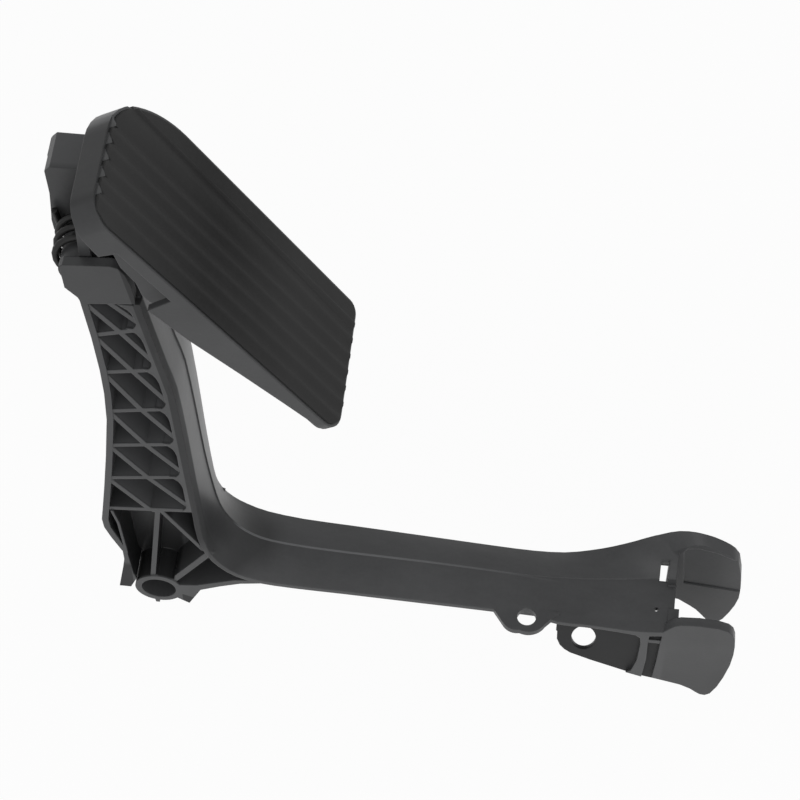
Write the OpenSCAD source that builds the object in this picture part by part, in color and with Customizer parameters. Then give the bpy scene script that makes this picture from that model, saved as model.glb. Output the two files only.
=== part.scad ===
// Accelerator pedal: ribbed L-shaped lever, sprung foot pad, pivot boss at the corner and forked end
// Frame: origin in the middle of the pivot bore, X along the beam, Y along the bore, Z up the lever

/* [Lever] */
// height of the head of the upright above the pivot, mm
upright_height = 160; // [150:2:175]
// length of the beam from the pivot to the mouth of the fork, mm
beam_length = 163; // [150:2:180]
// overall width of the upright across the pivot axis, mm
arm_width = 24.5; // [22:0.5:26]
// thickness of the middle web, mm
web_thickness = 3; // [2.4:0.2:4]
// thickness of each lattice rib, mm
rib_thickness = 1.7; // [1.2:0.1:2.2]
// thickness of the back flange, mm
back_flange = 2; // [1.6:0.2:2.6]
// thickness of the inner flange and of the beam skin, mm
skin_thickness = 2.4; // [2:0.2:3]
// depth of the web under the beam, mm
beam_web_depth = 9; // [6:1:12]

/* [Pivot boss] */
// radius of the pivot bore, mm
pivot_bore_radius = 5.5; // [4.5:0.25:6]
// radius of the boss round the bore, mm
boss_radius = 7.6; // [7.2:0.2:8.6]

/* [Fork end] */
// distance between the outer faces of the two cheeks, mm
fork_width = 27; // [26:0.5:28]
// thickness of each cheek, mm
cheek_thickness = 3; // [2.4:0.2:3.6]
// radius of the hole in the side lug, mm
lug_hole_radius = 3; // [2.7:0.1:3.7]
// radius of the rounded end of the side lug, mm
lug_radius = 6.3; // [6:0.2:7]
// width of the oval hole in the near cheek, mm
cheek_hole_width = 7.8; // [6.6:0.4:9]
// height of the oval hole in the near cheek, mm
cheek_hole_height = 15.4; // [13.4:0.4:16.2]

/* [Foot pad] */
// length of the foot pad, mm
pad_length = 114.8; // [110:0.2:120]
// width of the foot pad at its top end, mm
pad_width = 47.6; // [45:0.1:50]
// thickness of the pad plate under the tread, mm
pad_plate = 2.2; // [1.8:0.2:3]
// thickness of the pad side walls, mm
pad_wall = 2; // [1.6:0.2:2.6]
// width of the rim round the tread, mm
rim_width = 0.9; // [0.7:0.1:1.3]
// reach of the small teeth that hold the top end of the tread, mm
tooth_reach = 2.6; // [1.8:0.2:3]
// angle of the pad below the horizontal, degrees
pad_angle = 57.3; // [55:0.5:59]

/* [Tread] */
// thickness of the rubber tread without its ridges, mm
tread_base = 2; // [1.4:0.2:2.4]
// height of the tread ridges, mm
ridge_height = 0.5; // [0.3:0.1:0.8]
// distance from ridge to ridge, mm
ridge_pitch = 5.5; // [5.2:0.1:5.8]

/* [Pad hinge] */
// radius of the hinge pin, mm
pin_radius = 2.5; // [2:0.25:3]
// radial running clearance of the pad on its pin, mm
pin_clearance = 0.08; // [0.04:0.01:0.1]
// wire radius of the return spring, mm
wire_radius = 1; // [0.7:0.1:1.1]
// mean coil radius of the return spring, mm
coil_radius = 8.6; // [8:0.2:8.8]

/* [Hidden] */
$fn = 64;
half = arm_width / 2;
// how far the head and the fork move with the two lengths of the lever
head_shift = upright_height - 160;
fork_shift = beam_length - 163;
hinge = [-9.7, 166.5 + head_shift];
near_plate = 3;
// hinge stack along the pin, from the near side to the far side
near_plate_in = -half + near_plate;
near_ear = [near_plate_in + 0.35, near_plate_in + 2.75];
far_ear = [8, 20];
far_plate = [20.35, 23.35];
pin_near_end = -half + 1;
pin_far_end = far_plate[1];
ear_bore_radius = pin_radius + pin_clearance;
hinge_space = coil_radius + wire_radius + 0.6;
coil_taper = 0.7;
barrel_radius = coil_radius - coil_taper - wire_radius - 0.6;
// top corner of the pad on the middle plane, and the side of the pad that faces the viewer
pad_corner = [-0.25, 211.7 + head_shift];
pad_near = -22.2;
pad_taper = 1.3;
pad_rise = tread_base + ridge_height;
rim_drop = 0.9;
ridge_count = floor((pad_width - 8) / ridge_pitch);
first_ridge = pad_near + 5.85;
fork_half = fork_width / 2;
fork_in = fork_half - cheek_thickness;
parting_step = 0.35;
web_face = -fork_half + 1.2;
web_back = web_face + 1.4;
cheek_hole = [136.3, -5.5];
lug_centre = [117.8, -13.25];
lug_end = [118.2, -12.2];
lug_floor = 4;

// the upright stretches between its two ends, and so does the beam
function up(z) = z + head_shift * max(0, min(1, (z - 48) / 98));
function along(x) = x + fork_shift * max(0, min(1, (x - 44) / 61));
function fit(p) = [along(p[0]), up(p[1])];
function fitted(line) = [for (p = line) fit(p)];

// outline of the back of the upright, from the head down to the corner
back_line = fitted([
    [-10.4, 158], [-8.8, 140], [-7.9, 124], [-7.7, 112], [-8.2, 98], [-10.2, 78],
    [-12.3, 60], [-14, 46.5], [-14.8, 40.5], [-14.5, 35.6], [-12.8, 29.8], [-10, 22]
]);
// lattice rib heights on the back side and on the inner side
rib_back = [for (z = [140.7, 122.3, 102.1, 83.3, 64.7, 46.7]) up(z)];
rib_front = [for (z = [146.1, 126.4, 106.5, 87.7, 69.4, 49.9]) up(z)];
top_back = fit([-9.6, 156.6]);
top_front = fit([4.6, 158]);

// skin stations from the head to the mouth of the fork: x and z of the edges, x and z of the crown,
// half width, Y of the crown, z of the far edge, direction of the thickness in x and z
stations = [
    [6.3, 158, 6.8, 158, half, 0, 158, -1, 0],
    [8, 146, 8.6, 146.3, half, 0, 146, -1, 0],
    [10.9, 126, 11.8, 126.6, half, 0, 126, -1, 0],
    [12.8, 114, 13.9, 114.5, half, 0, 114, -1, 0],
    [14.1, 90, 15.4, 90.3, half, 0, 90, -1, 0],
    [14.9, 66, 16.6, 66.4, half, 0, 66, -1, 0],
    [15.6, 48, 18, 48.8, half, 0, 48, -1, 0],
    [16.3, 34, 19.6, 36, half, 0, 34, -0.96, -0.2],
    [18.2, 25.2, 22.1, 28.2, half, 0, 25.8, -0.85, -0.5],
    [21.6, 18.8, 25.4, 22.6, half, 0, 20.4, -0.7, -0.75],
    [26, 14.2, 29.4, 18.6, half, 0, 16.6, -0.4, -0.92],
    [32.5, 11.4, 35, 15.8, half, 0, 13.1, -0.1, -1],
    [44, 9.6, 45, 14, half - 0.3, 0, 11, 0, -1],
    [60, 8.5, 60, 12.8, half - 0.6, 0, 10.1, 0, -1],
    [85, 7.4, 85, 11.7, half - 0.6, 0, 7.9, 0, -1],
    [105, 6.5, 105, 10.2, half - 0.6, 0, 6.1, 0, -1],
    [118, 6, 118, 8.6, half - 0.3, 0.5, 4.8, 0, -1],
    [128, 5.6, 128, 7.2, fork_half, 1.5, 2.9, 0, -1],
    [136, 5.4, 136, 6.8, fork_half, 2.2, 5.8, 0, -1],
    [143, 4.9, 143, 6.6, fork_half, 3, 9.5, 0, -1],
    [150, 4.2, 150, 6.6, fork_half, 3.8, 14.3, 0, -1],
    [156, 4.4, 156, 6.8, fork_half, 4.5, 18.9, 0, -1],
    [163.9, 5.8, 163.9, 7, fork_half, 5, 22.7, 0, -1]
];
skin = [
    for (s = stations)
        [along(s[0]), up(s[1]), along(s[2]), up(s[3]), s[4], s[5], up(s[6]), s[7], s[8]]
];

// far cheek stations: x, lower edge, upper inner edge, upper outer edge
far_side = [
    [127.9, -4, 3.4, 2.6], [136, -6, 5, 5.6], [143, -8, 7.2, 9.4], [150, -10, 9.8, 14.2],
    [156, -12, 12, 18.8], [160.4, -13.4, 13.6, 21.7], [163.2, -14.4, 15.8, 22.9], [166, -15, 18, 23.3],
    [168.5, -17.2, 19.8, 23.1], [170.3, -18.8, 20.2, 22.7], [172.2, -20.8, 20, 22.1],
    [174.4, -24, 19.2, 21.2], [176.3, -27, 18.2, 20.1], [178, -28.4, 17, 19],
    [179.8, -27.8, 15.6, 17.6], [181.4, -25.2, 13.8, 15.9], [183.1, -20.4, 10.2, 12.7],
    [184.4, -15.6, 3.4, 5.4], [185.2, -10.6, -5, -4]
];
// outer outline of the near lobe, along its foot to the right and back along its top
near_low = [
    [159.6, -25.6], [165.6, -27.4], [169, -28.5], [172.3, -30.5], [174.4, -32.6], [175.9, -33.8],
    [177.5, -34], [179, -32.6], [180.8, -27.5], [182.3, -20.6], [183.6, -12], [184, -5],
    [183.9, 0.4], [183.5, 4.4]
];
near_top = [
    [182.6, 7.6], [181, 9.6], [178, 10.8], [171.7, 11.4], [166, 10.8], [164.2, 9.8], [161.2, 5.8]
];

// a band of even thickness on the left hand side of a line of points
function side(a, b) = [-(b[1] - a[1]), b[0] - a[0]] / norm(b - a);
function shifted(line, t) = [
    for (i = [0 : len(line) - 1])
        let (
            before = side(line[max(i - 1, 0)], line[max(i, 1)]),
            after = side(line[min(i, len(line) - 2)], line[min(i + 1, len(line) - 1)]),
            mean = (before + after) / norm(before + after)
        )
        line[i] + mean * t / max(0.6, mean * before)
];
function backwards(line) = [for (i = [len(line) - 1 : -1 : 0]) line[i]];

module band(line, t) {
    polygon(concat(line, backwards(shifted(line, t))));
}

// flat shape given in X and Z, drawn between two places along Y
module along_y(from, to) {
    translate([0, to, 0])
        rotate([90, 0, 0])
            linear_extrude(height = to - from)
                children();
}

module bar(a, b, t) {
    s = side(a, b) * t / 2;
    polygon([a + s, b + s, b - s, a - s]);
}

function back_x(z) = lookup(z, [for (i = [7 : -1 : 0]) [back_line[i][1], back_line[i][0]]]);
function front_x(z) = lookup(z, [for (i = [6 : -1 : 0]) [skin[i][1], skin[i][0]]]);

// a point of a smooth curve between b and c
function between(a, b, c, d, t) =
    0.5 * (2 * b + (c - a) * t + (2 * a - 5 * b + 4 * c - d) * t * t + (3 * b - a - 3 * c + d) * t * t * t);
function smooth(rows, steps) =
    let (n = len(rows))
    concat(
        [
            for (i = [0 : n - 2], k = [0 : steps - 1])
                between(rows[max(i - 1, 0)], rows[i], rows[i + 1], rows[min(i + 2, n - 1)], k / steps)
        ],
        [rows[n - 1]]
    );

// closed solid through rings of equally many points
module loft(rings) {
    n = len(rings);
    m = len(rings[0]);
    polyhedron(
        points = [for (r = rings) each r],
        faces = concat(
            [
                for (i = [0 : n - 2], k = [0 : m - 1])
                    let (a = i * m + k, b = i * m + (k + 1) % m)
                    each [[a, b, a + m], [b, b + m, a + m]]
            ],
            [for (k = [0 : m / 2 - 2]) each [[m - 1 - k, k + 1, k], [m - 1 - k, m - 2 - k, k + 1]]],
            [
                for (k = [0 : m / 2 - 2], f = [[k, k + 1, m - 1 - k], [k + 1, m - 2 - k, m - 1 - k]])
                    [for (v = f) v + (n - 1) * m]
            ]
        ),
        convexity = 8
    );
}

// places across the skin, the crown twice: before and after the fine step of the parting line
skin_steps = 4;
skin_places = concat(
    [for (j = [-skin_steps : 0]) [j / skin_steps, 0]],
    [for (j = [0 : skin_steps]) [j / skin_steps, parting_step]]
);

// a point of the outer face: u runs from -1 at the near edge over 0 at the crown to 1 at the far edge
function skin_outer(s, u, raise) =
    let (
        fall = 0.4 * abs(u) + 0.6 * u * u,
        edge_z = u < 0 ? s[1] : s[6],
        y = s[5] + (u < 0 ? s[4] + s[5] : s[4] - s[5]) * u + (raise > 0 && u == 0 ? 0.1 : 0)
    )
    [s[2] + (s[0] - s[2]) * fall, y, s[3] + (edge_z - s[3]) * fall]
    - [s[7], 0, s[8]] * raise * (1 - abs(u));
function skin_inner(s, u, raise) =
    skin_outer(s, u, raise) + [s[7], 0, s[8]] * skin_thickness * (1.15 - 0.4 * abs(u));
function skin_ring(s) =
    concat(
        [for (p = skin_places) skin_outer(s, p[0], p[1])],
        [for (p = backwards(skin_places)) skin_inner(s, p[0], p[1])]
    );

// crowned inner flange of the upright that turns into the skin of the beam
module crowned_skin() {
    loft([for (s = smooth(skin, 2)) skin_ring(s)]);
}

module lattice() {
    backs = concat([top_back], [for (z = rib_back) [back_x(z) + 0.6, z]]);
    fronts = concat([top_front], [for (z = rib_front) [front_x(z) - 0.8, z]]);
    n = len(backs);
    along_y(-half + 0.4, half - 0.4) {
        for (i = [1 : n - 1])
            bar(backs[i], fronts[i], rib_thickness);
        for (i = [0 : n - 2]) {
            middle = (backs[i + 1] + fronts[i + 1]) / 2;
            bar(backs[i], middle, rib_thickness);
        }
        for (i = [0 : n - 2]) {
            middle = (backs[i] + fronts[i]) / 2;
            bar(middle, fronts[i + 1], rib_thickness);
        }
    }
}

// middle web that follows the whole lever
module middle_web() {
    along_y(-web_thickness / 2, web_thickness / 2)
        polygon(concat(
            [for (p = back_line) p + [0.4, 0]],
            [[-8, 17], [-10.6, 0.6], [-7, 0.4], [-3, -5], [5, -5], [9, -6.6], [12.6, 1.8]],
            fitted([[20, 6.6], [31, 9], [44, 12 - beam_web_depth], [126, 8 - beam_web_depth], [134, -1]]),
            fitted([[134, 5.4], [118, 7.4], [105, 9], [85, 10.4], [60, 11.4], [45, 12.4], [33, 13.6]]),
            fitted([[28, 17], [23, 22], [19.5, 29], [17.2, 42], [15.3, 66], [13.9, 90], [12.5, 114]]),
            fitted([[10.2, 126]]),
            fitted([[7.2, 146], [5.2, 158.5]])
        ));
    for (x = [52, 66, 80, 94, 108])
        translate([along(x), 0, 0])
            beam_gusset();
    // shallow side walls under the skin
    for (y = [-9.8, 8.2])
        along_y(y, y + 1.6)
            polygon(fitted([
                [46, 9.6], [60, 8.4], [85, 7.2], [105, 6], [127.9, 3.8],
                [127.9, 0.6], [105, 2], [60, 4.4], [46, 7.2]
            ]));
}

// tapered cross rib under the beam skin, set back from the edges
module beam_gusset() {
    translate([-rib_thickness / 2, 0, 0])
        rotate([90, 0, 90])
            linear_extrude(height = rib_thickness)
                polygon([[-half + 2.4, 6], [0, 8.4], [half - 2.4, 6], [1.5, 0.4], [-1.5, 0.4]]);
}

module corner_and_boss() {
    rotate([90, 0, 0])
        cylinder(h = arm_width, r = boss_radius, center = true);
    along_y(-half, half) {
        // back wall, lower flange and the two outer fins
        bar([-9.3, 44], [-8.6, 8], 2);
        polygon([[-9.6, 18], [-10.5, 12], [-12.7, -0.6], [-9, -0.6], [-6.8, 5], [-6.6, 14]]);
        polygon([[5.6, -5], [9.4, -7.8], [13.8, 2], [12, 3.6], [7, 2]]);
        polygon([
            [6, 0.6], [13.4, 1.4], [20, 5], [26.6, 8], [33, 9.4], [33, 11], [25, 9.9], [12.4, 4.2], [6, 3.2]
        ]);
        // small moulding pip under the boss
        polygon([[-1.8, -6.6], [-1.5, -9], [-0.3, -9], [0, -6.6]]);
    }
    along_y(-half + 0.4, half - 0.4) {
        bar([2.4, 48], [-0.9, 6.6], rib_thickness + 0.5);
        bar([4.8, 5], [18.5, 26], rib_thickness + 0.5);
        bar([-8.8, 27], [-0.6, 27], rib_thickness);
    }
}

module near_cheek() {
    // thin web of the pocket
    along_y(web_face, web_back)
        polygon([
            [127.6, 5.2], [127.9, -7.6], [129, -11.6], [130.6, -14.2], [132.5, -16.1], [139.1, -19.6],
            [152.4, -25.6], [157, -27.2], [161, -28.2], [161, 4.2]
        ]);
    along_y(-fork_half, web_back) {
        // top rim and the rounded rim beside the slot
        polygon([
            [127.6, 5.6], [140.7, 5.1], [147.7, 4.3], [154, 3.6], [161.4, 4.8], [161.4, 2.8],
            [156.8, 1.8], [156.7, -3.4], [156.9, -13.3], [156.2, -25.6], [151, -23.6],
            [152.6, -22.2], [154, -15.1], [154.4, -3.8], [154, 0], [152.4, 1.7], [147, 2.6],
            [140, 3.4], [127.8, 4]
        ]);
        polygon(concat([[161, 5.4], [160.5, -2.6], [160.2, -13.9]], near_low, near_top));
    }
    along_y(-fork_half, -fork_in)
        polygon(concat([[162, 4], [162, -26.3]], [for (p = near_low) if (p[0] > 162) p], near_top));
    // low bar across the slot
    along_y(-fork_half + 0.4, web_back)
        polygon([[156, -1.2], [161, -1.2], [161, -3], [156, -3]]);
}

module far_cheek() {
    difference() {
        loft([
            for (s = far_side)
                let (x = s[0])
                [[x, fork_in, s[1]], [x, fork_in, s[2]], [x, fork_half, s[3]], [x, fork_half, s[1]]]
        ]);
        // shallow seat on the inner face
        along_y(fork_in - 1, fork_in + 0.4)
            polygon([
                [165.4, 15], [166.8, -4.2], [190, -7.2], [190, 7], [183, 12], [176, 16.2],
                [170, 18], [166.4, 17.2]
            ]);
        // lower part of the clip window
        translate([158.6, fork_in - 1, -9.6])
            cube([2.7, cheek_thickness + 2, 15.2]);
    }
}

module fork() {
    near_cheek();
    far_cheek();
    // root wall that closes the cheeks onto the skin
    along_y(-fork_half + 1.4, fork_half)
        polygon([[127.4, 1.8], [127.4, -2.6], [129, -4], [129, 1.8]]);
    // skin step at the mouth and a small raised lip beside the clip window
    along_y(-fork_in - 0.5, -5.4)
        polygon([[162, 6.6], [165.4, 6.6], [165.4, 4.4], [162, 4.4]]);
    translate([161.4, 1.9, 5.6])
        cube([2.6, 0.8, 2.2]);
}

module lug() {
    translate([0, 0, lug_floor])
        linear_extrude(height = skin_thickness) {
            translate(lug_end)
                circle(r = lug_radius);
            translate([114.7, -13.2])
                circle(r = lug_radius - 1.3);
            polygon([
                [106.6, -10.4], [107.2, -11.4], [110.4, -15.8], [122.8, -16.2], [126.4, -12.2],
                [128, -11.6], [128, -10.4]
            ]);
        }
}

module head() {
    // near hinge plate, rounded towards the pad
    along_y(-half, -half + near_plate) {
        polygon([
            [-9.9, 156.2], [-10.8, 159], [-14, 163.2], [-14.2, 167], [-14.6, 172.6], [-13.6, 173.6],
            [-0.6, 174.8], [1.6, 174], [3.2, 171.4], [4.4, 167], [5, 162], [5, 158.2]
        ]);
    }
    // far hinge plate on its yoke
    along_y(far_plate[0], far_plate[1])
        polygon([
            [-9.8, 146], [-15.6, 156], [-16.6, 163], [-15.8, 171], [-11, 173.4], [-4, 172.6], [3, 166],
            [5, 158], [7, 146]
        ]);
    along_y(half - 3, far_plate[1])
        polygon([[-9.2, 143], [-9.6, 150], [5, 150], [7.4, 143]]);
    // shelf under the spring that closes the lattice
    along_y(-half + near_plate - 0.4, half)
        polygon([[-10.4, 157], [-9.8, 154.6], [6, 156.4], [6.2, 158.4]]);
}

module fork_cuts() {
    translate([lug_centre[0], lug_centre[1], 0])
        cylinder(h = 10, r = lug_hole_radius);
    // oval hole through the near cheek
    along_y(-fork_half - 1, -fork_in + 1)
        translate(cheek_hole)
            polygon([
                for (a = [0 : 10 : 350])
                    [cheek_hole_width / 2 * cos(a), cheek_hole_height / 2 * sin(a)]
            ]);
    // clip window and small drain hole in the skin
    translate([158.6, 3.9, 1])
        cube([2.7, 5.1, 12]);
    translate([158.3, -5.8, 0])
        cylinder(h = 12, r = 0.7);
}

module pedal_arm() {
    color([0.13, 0.13, 0.14])
        difference() {
            union() {
                crowned_skin();
                along_y(-half, half)
                    band(back_line, back_flange);
                lattice();
                middle_web();
                corner_and_boss();
                translate([fork_shift, 0, 0]) {
                    fork();
                    lug();
                }
                translate([0, 0, head_shift])
                    head();
            }
            rotate([90, 0, 0])
                cylinder(h = arm_width + 2, r = pivot_bore_radius, center = true);
            translate([fork_shift, 0, 0])
                fork_cuts();
            // round space for the ears and the spring between the hinge plates
            translate([hinge[0], far_plate[0], hinge[1]])
                rotate([90, 0, 0])
                    cylinder(h = far_plate[0] - near_plate_in, r = hinge_space);
            // bore for the hinge pin, closed on the near side
            translate([hinge[0], 0, hinge[1]])
                rotate([90, 0, 0])
                    translate([0, 0, -far_plate[1] - 1])
                        cylinder(h = far_plate[1] + 1 - pin_near_end, r = pin_radius);
        }
}

// pad frame: X along the pad, Z out of its tread, origin at the middle of its top end
module on_pad() {
    translate([pad_corner[0], 0, pad_corner[1]])
        rotate([0, pad_angle, 0])
            children();
}

// outline of the pad: four corner arcs and a wide one at the top of the far side
function arc(c, r, from, to, n) =
    [for (k = [0 : n]) let (a = from + (to - from) * k / n) c + r * [cos(a), sin(a)]];
module pad_outline(inset) {
    far = pad_near + pad_width;
    low_near = 7;
    low_far = 3.6;
    top_near = 8;
    top_far = 8;
    wide = 42;
    join = 133.2;
    polygon(concat(
        arc([pad_length - low_near, pad_near + pad_taper + low_near], low_near - inset, -90, 0, 7),
        arc([pad_length - low_far, far - pad_taper - low_far], low_far - inset, 0, 89, 6),
        arc([30, far - wide], wide - inset, 90, join, 12),
        arc([top_far, far - wide + (wide - top_far) * sin(join)], top_far - inset, join, 180, 5),
        arc([top_near, pad_near + top_near], top_near - inset, 180, 269, 8)
    ));
}

// side walls, deep near the hinge and shallow at the lower end
module pad_skirt() {
    intersection() {
        translate([0, 0, -20])
            linear_extrude(height = 20 - rim_drop)
                difference() {
                    pad_outline(0);
                    pad_outline(pad_wall);
                }
        along_y(-pad_width, pad_width)
            polygon([
                [-1, 0], [pad_length + 1, 0], [pad_length + 1, -3.5], [106, -4], [93, -5.9], [77, -8.4],
                [58.3, -11.6], [41.4, -13.4], [40.6, -5], [17, -5], [16, -10.4], [11, -10],
                [4, -9], [-1, -8.6]
            ]);
    }
}

module pad_ribs() {
    intersection() {
        translate([0, 0, -20])
            linear_extrude(height = 20 - pad_rise - 1)
                pad_outline(0.6);
        union() {
            // long ribs, the near and far ones dip round the hinge
            for (y = [-14.6, 12.8])
                along_y(y, y + 1.8)
                    polygon([
                        [1, 0], [110, 0], [108, -4.6], [76, -7.2], [58, -11], [46.4, -17.6], [43, -17.9],
                        [37.6, -15.9], [30, -15.4], [24, -13.4], [14, -9.6], [1, -8.4]
                    ]);
            along_y(-0.9, 0.9)
                polygon([[44, 0], [110, 0], [108, -4.4], [76, -7.2], [52, -10.6], [44, -10.6]]);
            // cross ribs
            for (u = [50, 64, 78, 92])
                translate([u, -pad_width, -10.2 + (u - 50) * 0.115])
                    cube([1.6, 2 * pad_width, 10]);
            translate([9, -pad_width, -8.4])
                cube([1.6, 2 * pad_width, 8]);
        }
    }
}

// hinge ears of the pad
module pad_ears() {
    difference() {
        union() {
            translate([0, 0, head_shift]) {
                along_y(far_ear[0], far_ear[1])
                    polygon([
                        [-20.6, 161.5], [-20.9, 166], [-20.6, 170.4], [-20.2, 178], [-20.6, 187.6],
                        [-19, 189.6], [9.6, 189.8], [15.1, 181.1], [8, 178.4], [0, 176], [-2.6, 168],
                        [-2.6, 165], [-16, 160.5]
                    ]);
                along_y(near_ear[0], near_ear[1])
                    polygon([
                        [-9.6, 166], [-9.4, 191], [3.2, 199.7], [10.8, 187.9], [8.6, 185.6], [-6.4, 185.6],
                        [-6.4, 166]
                    ]);
            }
            // lip along the far edge of the far ear
            along_y(far_ear[1] - 6, far_ear[1])
                translate([0, head_shift])
                    polygon([
                        [-20.4, 171.5], [-21, 175], [-21.1, 181], [-20.9, 187], [-18, 188.6], [-18, 171.5]
                    ]);
            // barrel round the pin, inside the coil
            along_y(near_ear[0], far_ear[1])
                translate(hinge)
                    circle(r = barrel_radius);
        }
        translate([hinge[0], 0, hinge[1]])
            rotate([90, 0, 0])
                cylinder(h = 60, r = ear_bore_radius, center = true);
        // hollow of the far ear, open towards the upright
        along_y(far_ear[0] + 2.4, far_ear[1] - 2.4)
            translate([0, head_shift])
                polygon([[-18.4, 174.6], [-18.4, 186.8], [3, 186.8], [9, 181], [-2, 178.6], [-4.8, 174.6]]);
    }
}

module pedal_pad() {
    color([0.15, 0.15, 0.16])
        union() {
            on_pad() {
                difference() {
                    union() {
                        translate([0, 0, -pad_rise - pad_plate])
                            linear_extrude(height = pad_plate)
                                pad_outline(0.4);
                        pad_skirt();
                    }
                    // seat of the tread
                    translate([0, 0, -pad_rise])
                        linear_extrude(height = 5)
                            pad_outline(rim_width);
                }
                translate([0, 0, -pad_rise - 0.2])
                    linear_extrude(height = tread_base + 0.2)
                        rim_teeth(0);
                pad_ribs();
            }
            pad_ears();
        }
}

// row of pointed teeth along the top end of the pad, in the valleys between the ridges
module rim_teeth(grow) {
    for (k = [0 : ridge_count - 3]) {
        y = first_ridge + (k + 0.5) * ridge_pitch;
        base = tooth_reach * 0.75 + grow;
        root = rim_width - 0.3;
        polygon([[root, y - base], [rim_width + tooth_reach + 1.4 * grow, y], [root, y + base]]);
    }
}

module tread_mat() {
    color([0.08, 0.08, 0.08])
        on_pad()
            difference() {
                translate([0, 0, -pad_rise])
                    union() {
                        linear_extrude(height = tread_base)
                            pad_outline(rim_width);
                        intersection() {
                            linear_extrude(height = pad_rise)
                                pad_outline(rim_width);
                            for (k = [0 : ridge_count - 1])
                                translate([0, first_ridge + k * ridge_pitch, tread_base - 0.1])
                                    rotate([90, 0, 90])
                                        linear_extrude(height = pad_length)
                                            ridge();
                        }
                    }
                translate([0, 0, -pad_rise - 1])
                    linear_extrude(height = pad_rise + 2)
                        rim_teeth(0.05);
            }
}

module ridge() {
    top = ridge_height + 0.1;
    polygon([[-2.2, 0], [-0.6, top], [0.6, top], [2.2, 0]]);
}

module hinge_pin() {
    color([0.62, 0.62, 0.64])
        translate([hinge[0], 0, hinge[1]])
            rotate([90, 0, 0])
                translate([0, 0, -pin_far_end])
                    cylinder(h = pin_far_end - pin_near_end, r = pin_radius);
}

// wire path of the return spring: leg on the shelf of the lever, coils, leg behind the pad's far ear
coil_sweep = 1150;
coil_start = near_ear[1] + wire_radius + 0.5;
coil_end = far_ear[0] - wire_radius - 0.5;
coil_steps = 72;
function coil_point(i) =
    let (
        a = 270 - coil_sweep * i / coil_steps,
        r = coil_radius - coil_taper * (1 - i / coil_steps)
    )
    [
        hinge[0] + r * cos(a),
        coil_start + (coil_end - coil_start) * i / coil_steps,
        hinge[1] + r * sin(a)
    ];
wire_path = concat(
    [coil_point(0) + [8, 0, 1.2]],
    [for (i = [0 : coil_steps]) coil_point(i)],
    [coil_point(coil_steps) + [-1.4, 0, 9]]
);

module return_spring() {
    n = len(wire_path);
    ring = 10;
    points = [
        for (i = [0 : n - 1])
            let (
                way = wire_path[min(i + 1, n - 1)] - wire_path[max(i - 1, 0)],
                t = way / norm(way),
                u = cross(t, [0, 1, 0]) / norm(cross(t, [0, 1, 0])),
                v = cross(u, t)
            )
            for (k = [0 : ring - 1])
                wire_path[i] + wire_radius * (u * cos(360 * k / ring) + v * sin(360 * k / ring))
    ];
    sides = [
        for (i = [0 : n - 2], k = [0 : ring - 1])
            let (a = i * ring + k, b = i * ring + (k + 1) % ring)
            [a, b, b + ring, a + ring]
    ];
    color([0.6, 0.6, 0.6])
        polyhedron(
            points = points,
            faces = concat(
                sides,
                [[for (k = [ring - 1 : -1 : 0]) k]],
                [[for (k = [0 : ring - 1]) (n - 1) * ring + k]]
            ),
            convexity = 10
        );
}

pedal_arm();
pedal_pad();
tread_mat();
hinge_pin();
return_spring();
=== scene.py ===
"""Accelerator pedal: finishes, edge rounding, floor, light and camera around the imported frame."""
import math
import bpy
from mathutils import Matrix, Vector


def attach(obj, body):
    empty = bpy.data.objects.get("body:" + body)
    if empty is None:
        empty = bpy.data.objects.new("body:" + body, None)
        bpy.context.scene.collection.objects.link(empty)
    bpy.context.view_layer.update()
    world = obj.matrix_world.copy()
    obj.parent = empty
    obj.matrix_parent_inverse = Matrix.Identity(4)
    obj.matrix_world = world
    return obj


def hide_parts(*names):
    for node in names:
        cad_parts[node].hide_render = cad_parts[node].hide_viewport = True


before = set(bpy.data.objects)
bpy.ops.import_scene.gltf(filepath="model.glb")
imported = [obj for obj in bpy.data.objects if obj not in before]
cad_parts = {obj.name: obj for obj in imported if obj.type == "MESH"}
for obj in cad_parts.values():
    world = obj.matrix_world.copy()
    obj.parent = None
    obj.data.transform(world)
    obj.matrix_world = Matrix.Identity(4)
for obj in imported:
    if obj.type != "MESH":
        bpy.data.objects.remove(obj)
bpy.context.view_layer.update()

# shapes are given in millimetres, in the frame of the pedal: X along the beam, Y along the bore, Z up
MM = 0.001

# camera, fitted to the photograph
IMAGE_PX = 800.0
SENSOR = 36.0
FOCAL_PX = 2800.0
AIM = Vector((76.2, 0.0, 104.0)) * MM
DISTANCE = 810.0 * MM
TURN = math.radians(6.3)
RISE = math.radians(56.8)

# lever: planes along Y
NEAR_FACE = -12.25
NEAR_BAND = -12.05
RIB_FACE = -11.85
CUT_FRONT = -13.0
CUT_FLOOR = -1.45
WEB = -1.3

# lever: inner edge of the upright's skin, as height and distance from the bore, and the cross ribs' heights
INNER_EDGE = (
    (158, 6.3), (146, 8.0), (126, 10.9), (114, 12.8), (90, 14.1), (66, 14.9), (48, 15.6), (34, 16.3)
)
CROSS_RIBS = (157.4, 146.1, 126.4, 106.5, 87.7, 69.4, 49.9)
# near flange between two cross ribs: width from the inner edge, and distance below the upper rib
UPPER_CORNER = ((6.6, 0.0), (5.2, 1.3), (4.1, 2.5), (3.4, 4.3), (3.1, 6.6))
# the same, with the distance above the lower rib
LOWER_CORNER = ((3.1, 2.8), (3.6, 1.3), (4.6, 0.0))

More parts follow.
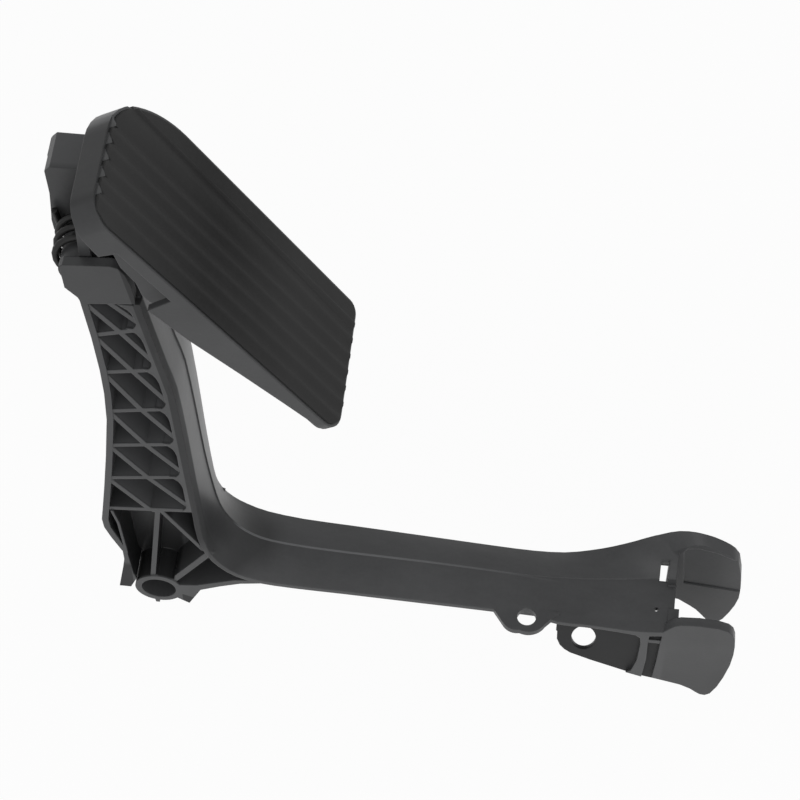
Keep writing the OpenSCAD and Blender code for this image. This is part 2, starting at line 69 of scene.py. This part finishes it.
# lever: pocket above the boss, as X and Z, from its top left corner and back round the boss
BOSS_POCKET = (
    (-11.9, 45.5), (12.7, 48.3), (13.0, 43.4), (14.2, 33.6), (15.6, 26.4), (5.9, 9.3), (5.2, 5.8),
    (3.3, 7.05), (1.2, 7.75), (-1.2, 7.75), (-3.3, 7.05), (-5.0, 6.0), (-6.3, 4.8), (-6.9, 5.2),
    (-7.6, 8.0), (-8.2, 16.4), (-8.6, 22.5), (-10.9, 30.6), (-12.4, 36.0), (-12.7, 40.5)
)
SLIM_WALL = 0.8
UPRIGHT_RIB = 1.6
SLANTING_RIB = 1.4
# ribs of that pocket: start, end, thickness, near face
BOSS_RIBS = (
    ((-11.3, 45.9), (-9.8, 38.8), SLIM_WALL, NEAR_FACE),
    ((-9.85, 39.2), (-9.15, 28.7), SLIM_WALL, NEAR_FACE),
    ((-9.2, 29.1), (-8.7, 20.6), SLIM_WALL, NEAR_FACE),
    ((3.1, 48.2), (-1.4, 7.2), UPRIGHT_RIB, RIB_FACE),
    ((3.9, 48.4), (15.9, 26.3), SLANTING_RIB, RIB_FACE),
)

# foot pad: u along the pad from its top end, y across, n out of the tread
PAD_TOP = Vector((-0.25, 0.0, 211.7))
PAD_ANGLE = math.radians(57.3)
ALONG_PAD = Vector((math.cos(PAD_ANGLE), 0.0, -math.sin(PAD_ANGLE)))
OUT_OF_PAD = Vector((math.sin(PAD_ANGLE), 0.0, math.cos(PAD_ANGLE)))
TOP_END = 14.0
WALL_FOOT = -9.6
# arcs at the top end's far corner: centre, radius, and the angle at which they meet
WIDE_CENTRE, WIDE_RADIUS, WIDE_START = (30.0, -16.6), 42.0, 118.8
OLD_CENTRE, OLD_RADIUS, OLD_JOIN = (8.0, 8.185), 8.0, 133.2
NEW_CENTRE, NEW_RADIUS, NEW_JOIN = (16.0, 5.309), 16.0, 122.578
ARC_END = 180.0
WALL_INSETS = (0.0, 0.4, 0.6, 0.9, 2.0)
ARC_SLACK = 0.06
ANGLE_SLACK = 0.1
# teeth of the tread at the top end
TEETH_FOOT = -3.2
TEETH_START, TEETH_END = 0.9, 3.6
TEETH_NEAR, TEETH_FAR = -20.5, 9.0
TEETH_LENGTH = 0.6

# mesh cleaning
SAME_POINT = 0.000004
SHORT_EDGE = 0.03
FLAT_SLIVER = 0.02

# edge radii
LEVER_RADIUS = 0.30
PAD_RADIUS = 0.45
TREAD_RADIUS = 0.3
PIN_RADIUS = 0.4
WIRE_RADIUS = 0.15
SHARP_EDGE = 34.0
SMOOTH_EDGE = 40.0
WIRE_EDGE = 60.0

# studio
FLOOR_HEIGHT = -0.12
FLOOR_SIZE = 8.0
FLOOR_SHOWN = 0.9
WORLD_STRENGTH = 0.74


class Link:
    """A shader socket that can be used in sums."""

    def __init__(self, tree, socket):
        self.tree = tree
        self.socket = socket

    def _math(self, kind, a, b):
        node = self.tree.nodes.new("ShaderNodeMath")
        node.operation = kind
        for place, value in enumerate((a, b)):
            if isinstance(value, Link):
                self.tree.links.new(value.socket, node.inputs[place])
            else:
                node.inputs[place].default_value = value
        return Link(self.tree, node.outputs[0])

    def __add__(self, other):
        return self._math("ADD", self, other)

    def __radd__(self, other):
        return self._math("ADD", other, self)

    def __sub__(self, other):
        return self._math("SUBTRACT", self, other)

    def __rsub__(self, other):
        return self._math("SUBTRACT", other, self)

    def __mul__(self, other):
        return self._math("MULTIPLY", self, other)

    def __rmul__(self, other):
        return self._math("MULTIPLY", other, self)


class Finish:
    """A material and the one way to add a node to it."""

    def __init__(self, name):
        self.material = bpy.data.materials.new(name)
        self.material.use_nodes = True
        self.tree = self.material.node_tree
        self.tree.nodes.clear()
        self.output = self.tree.nodes.new("ShaderNodeOutputMaterial")

    def add(self, kind, settings=None, out=0, **sockets):
        """Adds a node. Sockets go by name, with _ for a space, or by number as n0, n1 and so on."""
        node = self.tree.nodes.new(kind)
        for key, value in (settings or {}).items():
            if key == "stops":
                for element, (place, colour) in zip(node.color_ramp.elements, value):
                    element.position = place
                    element.color = colour
            else:
                setattr(node, key, value)
        for key, value in sockets.items():
            by_number = key[0] == "n" and key[1:].isdigit()
            socket = node.inputs[int(key[1:])] if by_number else node.inputs[key.replace("_", " ")]
            if isinstance(value, Link):
                self.tree.links.new(value.socket, socket)
            else:
                socket.default_value = value
        return Link(self.tree, node.outputs[out])

    def place(self, scale=(1.0, 1.0, 1.0)):
        coordinates = self.add("ShaderNodeTexCoord", out="Object")
        return self.add("ShaderNodeMapping", Vector=coordinates, Scale=scale)

    def noise(self, vector, scale, detail=3.0, rough=0.55):
        return self.add("ShaderNodeTexNoise", Vector=vector, Scale=scale, Detail=detail, Roughness=rough)

    def ramp(self, value, low, high, dark, light):
        return self.add("ShaderNodeValToRGB", {"stops": [(low, dark), (high, light)]}, Fac=value)

    def fade(self, value, start, end):
        """0 at the start, 1 at the end, and held there beyond them."""
        return self.add("ShaderNodeMapRange", Value=value, n1=start, n2=end)

    def split(self, vector):
        return [self.add("ShaderNodeSeparateXYZ", Vector=vector, out=k) for k in range(3)]

    def smaller(self, a, b):
        return self.add("ShaderNodeMath", {"operation": "MINIMUM"}, n0=a, n1=b)

    def larger(self, a, b):
        return self.add("ShaderNodeMath", {"operation": "MAXIMUM"}, n0=a, n1=b)

    def mix(self, amount, a, b):
        return self.add("ShaderNodeMix", {"data_type": "RGBA"}, out=2, n0=amount, n6=a, n7=b)

    def above(self, value, limit, soft):
        """1 above the limit, fading out below it. The limit and the soft border are in millimetres."""
        return self.fade(value, (limit - soft) * MM, limit * MM)

    def below(self, value, limit, soft):
        """1 below the limit, fading out above it."""
        start, end = limit * MM, (limit + soft) * MM
        return self.add("ShaderNodeMapRange", Value=value, n1=start, n2=end, n3=1.0, n4=0.0)

    def between(self, value, low, high, soft):
        """1 where the value lies from low to high, with soft borders."""
        return self.above(value, low, soft) * self.below(value, high, soft)

    def edges_worn_and_highlit(self, radius=0.5 * MM):
        """1 on edges and 0 on flat stretches, and the normal rounded over those edges; it marks where wear and
        a painted highlight lighten the edges.
        """
        turned = self.add("ShaderNodeBevel", {"samples": 6}, Radius=radius)
        plain = self.add("ShaderNodeNewGeometry", out="Normal")
        alike = self.add("ShaderNodeVectorMath", {"operation": "DOT_PRODUCT"}, out="Value", n0=turned, n1=plain)
        return self.fade(1.0 - alike, 0.015, 0.16), turned

    def bump(self, strength, depth, height, **normal):
        return self.add("ShaderNodeBump", Strength=strength, Distance=depth, Height=height, **normal)

    def surface(self, **sockets):
        shader = self.add("ShaderNodeBsdfPrincipled", **sockets)
        self.tree.links.new(shader.socket, self.output.inputs["Surface"])
        return self.material


def grey(value):
    return (value, value, value, 1.0)


def cool_grey(value):
    return (value * 0.985, value, value * 1.03, 1.0)


def lever_marks(f, here, base, colour, roughness):
    """What differs from place to place on the lever: painted shade in bands, recesses and on the near side,
    painted light in the lattice pockets and on the inner face, and the parting line.
    """
    x, y, z = f.split(here)
    near_face = f.below(y, NEAR_BAND, 0.1)
    # distance past the inner edge of the upright's skin, which has a bend in it
    front = f.smaller(18.16 * MM - 0.047 * z, 29.9 * MM - 0.15 * z)
    past_edge = x - front

    # painted shade on the floor of the pocket in the near cheek, which is also rougher
    cheek_floor = f.between(y, -12.75, -11.7, 0.2) * f.between(x, 127.0, 160.6, 0.2)
    cheek_floor = cheek_floor * f.below(z, 3.4, 0.3)
    # painted shade: a dark band along the near edge of the upright's inner flange
    flange = f.below(y, -9.6, 0.7) * f.above(past_edge, -2.0, 0.2)
    flange = flange * f.above(z, 34.0, 12.0) * f.below(x, 30.0, 1.0)
    # painted shade on the outer faces of the two fins beside the boss
    left_fin = f.below(z, 13.0, 2.0) * f.below(x, -8.0, 0.3)
    right_fin = f.below(z + x * 0.45, 0.9, 0.3) * f.above(x, 7.6, 0.3)
    fins = near_face * (left_fin + right_fin)
    # painted shade on the cheek's pocket floor, the flange band and the fins; all three are also rougher
    colour = f.mix(cheek_floor * 0.85, colour, cool_grey(base * 0.2))
    colour = f.mix(flange * 0.55, colour, cool_grey(base * 0.3))
    colour = f.mix(fins * 0.5, colour, cool_grey(base * 0.2))
    roughness = roughness + cheek_floor * 0.3 + flange * 0.3 + fins * 0.3

    # painted shade makes the pocket above the boss evenly dark, and painted light makes the lattice pockets
    # paler inside
    boss_pocket = f.between(y, -11.5, -1.2, 0.3) * f.between(x, -12.0, 6.5, 1.0)
    boss_pocket = boss_pocket * f.between(z, 4.0, 47.0, 1.5)
    pocket_painted_light = f.between(y, -11.2, -0.8, 0.5) * f.between(z, 50.0, 158.0, 1.5)
    pocket_painted_light = pocket_painted_light * f.below(past_edge, -2.4, 0.3)
    colour = f.mix(boss_pocket * 0.75, colour, cool_grey(base * 0.25))
    colour = f.mix(pocket_painted_light, colour, cool_grey(base * 1.7))

    # painted light makes the inner face of the upright paler towards the head, and painted shade makes it
    # greyer at the corner
    inner_face = f.above(past_edge, 0.6, 0.4) * f.above(z, 16.0, 4.0) * f.below(x, 34.0, 6.0)
    colour = f.mix(inner_face * f.above(z, 135.0, 60.0) * 0.6, colour, cool_grey(base * 2.0))
    colour = f.mix(inner_face * f.below(z, 34.0, 30.0) * 0.6, colour, cool_grey(base * 0.3))

    # painted shade: near hinge plate and near fork cheek a little darker, the cheek more so towards its bottom
    plate = near_face * f.above(z, 150.0, 3.0)
    cheek = near_face * f.above(x, 163.0, 1.0) * (0.1 + f.below(z, -22.0, 18.0) * 0.35)
    colour = f.mix(plate * 0.35, colour, cool_grey(base * 0.4))
    colour = f.mix(cheek, colour, cool_grey(base * 0.4))

    # parting line of the mould: painted shade along it on the upright, a thin painted highlight along it on the
    # beam
    line = f.between(y, -0.22, 0.3, 0.1) * f.above(x, 5.2, 0.4)
    painted_step_highlight = line * f.below(z, 22.0, 4.0) * f.below(x, 70.0, 60.0)
    colour = f.mix(line * f.above(z, 44.0, 8.0) * 0.8, colour, cool_grey(base * 0.15))
    colour = f.mix(painted_step_highlight * 0.6, colour, cool_grey(0.14))
    return colour, roughness


def pad_marks(f, here, base, colour, roughness):
    """Painted shade makes the end wall of the foot pad darker, and painted light makes its far hinge ear paler.
    """
    x, y, z = f.split(here)
    end_wall = f.below(x * 0.54 - z * 0.842, -178.1, 0.6) * f.below(y, 8.0, 3.0)
    far_ear = f.above(y, 10.0, 2.0) * f.below(x, 1.0, 2.0)
    colour = f.mix(end_wall * 0.4, colour, cool_grey(base * 0.3))
    colour = f.mix(far_ear * 0.5, colour, cool_grey(base * 2.2))
    return colour, roughness


def moulded_plastic(name, base, marks, rough=0.38, wear_and_highlight=0.1):
    """Black glass-filled moulding: fine grain, cloudy colour, rubbed edges lighter from wear and a painted
    highlight, and small scuffs.
    """
    f = Finish(name)
    here = f.place()
    cloud = f.noise(here, 38.0, 4.0, 0.6)
    fine = f.noise(here, 900.0, 3.0, 0.6)
    flow = f.noise(f.place((1.0, 3.0, 0.4)), 120.0, 3.0, 0.6)
    tone = cloud * 0.55 + flow * 0.25 + fine * 0.2
    colour = f.ramp(tone, 0.3, 0.72, cool_grey(base * 0.82), cool_grey(base * 1.2))
    roughness = rough - cloud * 0.08 + fine * 0.06
    colour, roughness = marks(f, here, base, colour, roughness)
    rub_and_highlight, turned = f.edges_worn_and_highlit()
    patchy = f.fade(f.noise(here, 260.0, 4.0, 0.7), 0.42, 0.72)
    scuff = f.fade(f.noise(here, 340.0, 4.0, 0.7), 0.68, 0.8)
    # lighter edges: wear, and a painted highlight along them; the scuffs below are wear
    colour = f.mix(rub_and_highlight * (0.08 + patchy * 0.25), colour, cool_grey(wear_and_highlight))
    colour = f.mix(scuff * 0.25, colour, cool_grey(wear_and_highlight))
    grain = f.bump(0.35, 0.06 * MM, fine + cloud * 0.4, Normal=turned)
    return f.surface(Base_Color=colour, Roughness=roughness, Normal=grain, IOR=1.47, Specular_IOR_Level=0.27)


def tread_rubber():
    """Dull black rubber with faint dust in its grain, painted light making it greyer towards both ends of the
    tread, and edges lighter from wear and a painted highlight.
    """
    f = Finish("tread_rubber")
    here = f.place()
    cloud = f.noise(here, 30.0, 4.0, 0.6)
    fine = f.noise(here, 700.0, 2.0, 0.6)
    speck = f.add("ShaderNodeTexVoronoi", {"feature": "F1"}, Vector=here, Scale=520.0)
    colour = f.ramp(cloud * 0.6 + fine * 0.4, 0.34, 0.7, grey(0.009), grey(0.015))
    height = f.split(here)[2]
    # painted light: greyer towards both ends of the tread
    top_end = f.above(height, 206.0, 34.0)
    lower_end = f.below(height, 138.0, 30.0)
    colour = f.mix(top_end * 0.75 + lower_end * 0.6, colour, grey(0.033))
    dust = f.fade(f.noise(here, 420.0, 4.0, 0.75), 0.62, 0.76)
    colour = f.mix(dust * 0.22, colour, grey(0.05))
    rub_and_highlight, turned = f.edges_worn_and_highlit()
    # lighter edges: wear, and a painted highlight along them
    colour = f.mix(rub_and_highlight * 0.18, colour, grey(0.045))
    grain = f.bump(0.4, 0.1 * MM, fine * 0.7 + speck * 0.4, Normal=turned)
    roughness = 0.74 - cloud * 0.1
    return f.surface(Base_Color=colour, Roughness=roughness, Normal=grain, IOR=1.45, Specular_IOR_Level=0.24)


def steel(name, base, rough):
    """Drawn or ground steel with fine streaks and a cloudy film of oil."""
    f = Finish(name)
    streak = f.noise(f.place((1.0, 6.0, 1.0)), 400.0, 3.0, 0.6)
    cloud = f.noise(f.place(), 60.0, 3.0, 0.6)
    colour = f.ramp(streak * 0.5 + cloud * 0.5, 0.35, 0.7, grey(base * 0.75), grey(base * 1.15))
    streaks = f.bump(0.2, 0.03 * MM, streak)
    return f.surface(Base_Color=colour, Metallic=1.0, Roughness=rough + cloud * 0.2, Normal=streaks)


def pale_floor():
    """White floor: white to the camera and to reflections, still holding a soft shadow."""
    f = Finish("studio_floor")
    plain = f.add("ShaderNodeBsdfDiffuse", Color=grey(0.92))
    glow = f.add("ShaderNodeEmission", Color=grey(1.0), Strength=1.0)
    seen, in_gloss, through_glass = [
        f.add("ShaderNodeLightPath", out=ray)
        for ray in ("Is Camera Ray", "Is Glossy Ray", "Is Transmission Ray")
    ]
    white = f.larger(f.larger(seen, in_gloss), through_glass)
    shown = f.add("ShaderNodeMixShader", Fac=white * FLOOR_SHOWN, n1=plain, n2=glow)
    f.tree.links.new(shown.socket, f.output.inputs["Surface"])
    return f.material


def select_only(piece):
    bpy.ops.object.select_all(action="DESELECT")
    piece.select_set(True)
    bpy.context.view_layer.objects.active = piece


def edit_all(piece):
    """Opens the piece in edit mode with everything selected."""
    select_only(piece)
    bpy.ops.object.mode_set(mode="EDIT")
    bpy.ops.mesh.select_all(action="SELECT")


def join_points(piece, distance=SAME_POINT):
    edit_all(piece)
    bpy.ops.mesh.remove_doubles(threshold=distance)
    bpy.ops.object.mode_set(mode="OBJECT")


def copy_of_node(node, name):
    """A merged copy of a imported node's mesh, ready to have its edges rounded."""
    piece = bpy.data.objects.new(name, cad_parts[node].data.copy())
    piece.data.name = name
    bpy.context.scene.collection.objects.link(piece)
    join_points(piece)
    return piece


def rounded(piece, radius, segments=2, edge_angle=SHARP_EDGE, smooth_angle=SMOOTH_EDGE):
    """Small moulded radius on every sharp edge, and smooth shading between flat stretches."""
    select_only(piece)
    bevel = piece.modifiers.new("round", "BEVEL")
    bevel.width = radius * MM
    bevel.segments = segments
    bevel.limit_method = "ANGLE"
    bevel.angle_limit = math.radians(edge_angle)
    bevel.use_clamp_overlap = True
    bevel.miter_outer = "MITER_ARC"
    bpy.ops.object.modifier_apply(modifier=bevel.name)
    bpy.ops.object.shade_smooth_by_angle(angle=math.radians(smooth_angle))
    even = piece.modifiers.new("even_normals", "WEIGHTED_NORMAL")
    even.mode = "FACE_AREA"
    even.weight = 50
    even.keep_sharp = True
    bpy.ops.object.modifier_apply(modifier=even.name)
    return piece


def prism(outline, near, far):
    """Solid with the given outline in X and Z, from one place along Y to another."""
    bpy.ops.mesh.primitive_circle_add(vertices=len(outline), radius=MM, fill_type="NGON")
    tool = bpy.context.object
    for vertex, (x, z) in zip(tool.data.vertices, outline):
        vertex.co = Vector((x, near, z)) * MM
    edit_all(tool)
    bpy.ops.mesh.extrude_region_move(TRANSFORM_OT_translate={"value": (0.0, (far - near) * MM, 0.0)})
    bpy.ops.mesh.select_all(action="SELECT")
    bpy.ops.mesh.normals_make_consistent(inside=False)
    bpy.ops.object.mode_set(mode="OBJECT")
    return tool


def rib(start, end, thickness, near):
    """Straight rib between two places in X and Z, standing on the web."""
    a, b = Vector(start), Vector(end)
    way = (b - a).normalized()
    side = Vector((-way.y, way.x)) * thickness / 2.0
    return prism([a + side, b + side, b - side, a - side], near, WEB)


def combine(piece, tool, operation):
    select_only(piece)
    step = piece.modifiers.new("combine", "BOOLEAN")
    step.operation = operation
    step.solver = "EXACT"
    step.object = tool
    bpy.ops.object.modifier_apply(modifier=step.name)
    bpy.data.objects.remove(tool, do_unlink=True)


def shape_boss_corner(lever):
    """The near side of the corner above the boss: one slim wall, an upright rib and a slanting one."""
    combine(lever, prism(BOSS_POCKET, CUT_FRONT, CUT_FLOOR), "DIFFERENCE")
    for start, end, thickness, near in BOSS_RIBS:
        combine(lever, rib(start, end, thickness, near), "UNION")


def inner_edge(z):
    """How far the inner edge of the upright's skin stands from the bore at a height."""
    for (high, at_high), (low, at_low) in zip(INNER_EDGE, INNER_EDGE[1:]):
        if z >= low:
            return at_low + (at_high - at_low) * (z - low) / (high - low)
    return INNER_EDGE[-1][1]


def shape_inner_flange(lever):
    """The near flange beside the lattice is broad, and the pockets have rounded corners along it."""
    for high, low in zip(CROSS_RIBS, CROSS_RIBS[1:]):
        inside_skin = [(1.0, high)]
        into_pocket = [(width, high - drop) for width, drop in UPPER_CORNER]
        into_pocket += [(width, low + rise) for width, rise in LOWER_CORNER]
        back_in_skin = [(1.1, low), (1.05, (high + low) / 2.0 - 2.4)]
        outline = [(inner_edge(z) - width, z) for width, z in inside_skin + into_pocket + back_in_skin]
        combine(lever, prism(outline, NEAR_FACE, WEB), "UNION")


def clear_slivers(lever):
    """Takes out the tiny edges that would hold back the rounding of all edges."""
    edit_all(lever)
    bpy.ops.mesh.remove_doubles(threshold=SHORT_EDGE * MM)
    bpy.ops.mesh.dissolve_degenerate(threshold=FLAT_SLIVER * MM)
    bpy.ops.object.mode_set(mode="OBJECT")


def around(centre, u, y):
    """Distance and angle of a place on the pad, seen from the centre of an arc."""
    along, across = u - centre[0], y - centre[1]
    return math.hypot(along, across), math.degrees(math.atan2(across, along)) % 360.0


def on_arc(centre, radius, angle):
    turn = math.radians(angle)
    return centre[0] + radius * math.cos(turn), centre[1] + radius * math.sin(turn)


def softer_far_corner(u, y):
    """Moves the walls at the top end's far corner from their small arc onto a wider one."""
    wide, wide_angle = around(WIDE_CENTRE, u, y)
    small, small_angle = around(OLD_CENTRE, u, y)
    fits = []
    for inset in WALL_INSETS:
        if OLD_JOIN - ANGLE_SLACK < small_angle < ARC_END + ANGLE_SLACK:
            fits.append((abs(OLD_RADIUS - inset - small), "small"))
        if WIDE_START < wide_angle < OLD_JOIN + ANGLE_SLACK:
            fits.append((abs(WIDE_RADIUS - inset - wide), "wide"))
    if not fits or min(fits)[0] > ARC_SLACK:
        return u, y
    if min(fits)[1] == "wide":
        share = (NEW_JOIN - WIDE_START) / (OLD_JOIN - WIDE_START)
        return on_arc(WIDE_CENTRE, wide, WIDE_START + (wide_angle - WIDE_START) * share)
    share = (ARC_END - NEW_JOIN) / (ARC_END - OLD_JOIN)
    angle = ARC_END - (ARC_END - small_angle) * share
    return on_arc(NEW_CENTRE, NEW_RADIUS - OLD_RADIUS + small, angle)


def shape_pad_top(piece, short_teeth=False):
    """The far corner of the pad's top end is well rounded, and the teeth of the tread are short."""
    for vertex in piece.data.vertices:
        place = vertex.co / MM - PAD_TOP
        u, y, n = place.dot(ALONG_PAD), place.y, place.dot(OUT_OF_PAD)
        if u > TOP_END or n < WALL_FOOT:
            continue
        u, y = softer_far_corner(u, y)
        on_teeth = n > TEETH_FOOT and TEETH_START < u < TEETH_END and TEETH_NEAR < y < TEETH_FAR
        if short_teeth and on_teeth:
            u = TEETH_START + (u - TEETH_START) * TEETH_LENGTH
        vertex.co = (PAD_TOP + ALONG_PAD * u + OUT_OF_PAD * n + Vector((0.0, y, 0.0))) * MM
    join_points(piece)


def finish_piece(piece, material):
    piece.data.materials.clear()
    piece.data.materials.append(material)
    for polygon in piece.data.polygons:
        polygon.material_index = 0


def stands_for(piece, node, body):
    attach(piece, body)
    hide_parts(node)


def make_lever():
    lever = copy_of_node("pedal_arm", "moulded_lever")
    shape_boss_corner(lever)
    shape_inner_flange(lever)
    clear_slivers(lever)
    rounded(lever, LEVER_RADIUS)
    finish_piece(lever, moulded_plastic("lever_plastic", 0.05, lever_marks))
    stands_for(lever, "pedal_arm", "lever")


def make_foot_pad():
    pad = copy_of_node("pedal_pad", "foot_pad")
    shape_pad_top(pad)
    rounded(pad, PAD_RADIUS, segments=3)
    finish_piece(pad, moulded_plastic("pad_plastic", 0.042, pad_marks))
    stands_for(pad, "pedal_pad", "pad")


def make_tread():
    tread = copy_of_node("tread_mat", "rubber_tread")
    shape_pad_top(tread, short_teeth=True)
    rounded(tread, TREAD_RADIUS)
    finish_piece(tread, tread_rubber())
    stands_for(tread, "tread_mat", "pad")


def make_pin():
    pin = rounded(copy_of_node("hinge_pin", "pressed_pin"), PIN_RADIUS)
    finish_piece(pin, steel("pin_steel", 0.5, 0.3))
    stands_for(pin, "hinge_pin", "lever")


def make_spring():
    spring = copy_of_node("return_spring", "coiled_spring")
    rounded(spring, WIRE_RADIUS, edge_angle=WIRE_EDGE, smooth_angle=WIRE_EDGE)
    finish_piece(spring, steel("spring_steel", 0.045, 0.45))
    stands_for(spring, "return_spring", "lever")


def make_floor():
    bpy.ops.object.select_all(action="DESELECT")
    bpy.ops.mesh.primitive_plane_add(size=FLOOR_SIZE, location=(0.0, 0.0, FLOOR_HEIGHT))
    floor = bpy.context.object
    floor.name = "studio_floor"
    finish_piece(floor, pale_floor())


def soft_lamp(name, place, aim, size, power):
    data = bpy.data.lights.new(name, "AREA")
    data.shape = "DISK"
    data.size = size
    data.energy = power
    lamp = bpy.data.objects.new(name, data)
    bpy.context.scene.collection.objects.link(lamp)
    lamp.location = place
    lamp.rotation_euler = (Vector(aim) - Vector(place)).to_track_quat("-Z", "Y").to_euler()


def make_light():
    """One broad lamp from the near side, and an even white surround."""
    soft_lamp("key_lamp", place=(0.35, -1.7, 0.9), aim=(0.07, 0.0, 0.08), size=1.8, power=11.0)
    world = bpy.data.worlds.new("studio")
    bpy.context.scene.world = world
    world.use_nodes = True
    surround = world.node_tree.nodes["Background"]
    surround.inputs["Color"].default_value = grey(1.0)
    surround.inputs["Strength"].default_value = WORLD_STRENGTH


def make_camera():
    forward = Vector((-math.sin(TURN) * math.cos(RISE), math.cos(TURN) * math.cos(RISE), -math.sin(RISE)))
    data = bpy.data.cameras.new("photo_camera")
    data.sensor_width = SENSOR
    data.lens = SENSOR * FOCAL_PX / IMAGE_PX
    data.clip_start = 0.01
    data.clip_end = 20.0
    camera = bpy.data.objects.new("photo_camera", data)
    bpy.context.scene.collection.objects.link(camera)
    camera.location = AIM - forward * DISTANCE
    camera.rotation_euler = forward.to_track_quat("-Z", "Y").to_euler()
    bpy.context.scene.camera = camera


make_camera()
make_lever()
make_foot_pad()
make_tread()
make_pin()
make_spring()
make_floor()
make_light()
bpy.context.scene.view_settings.view_transform = "Standard"
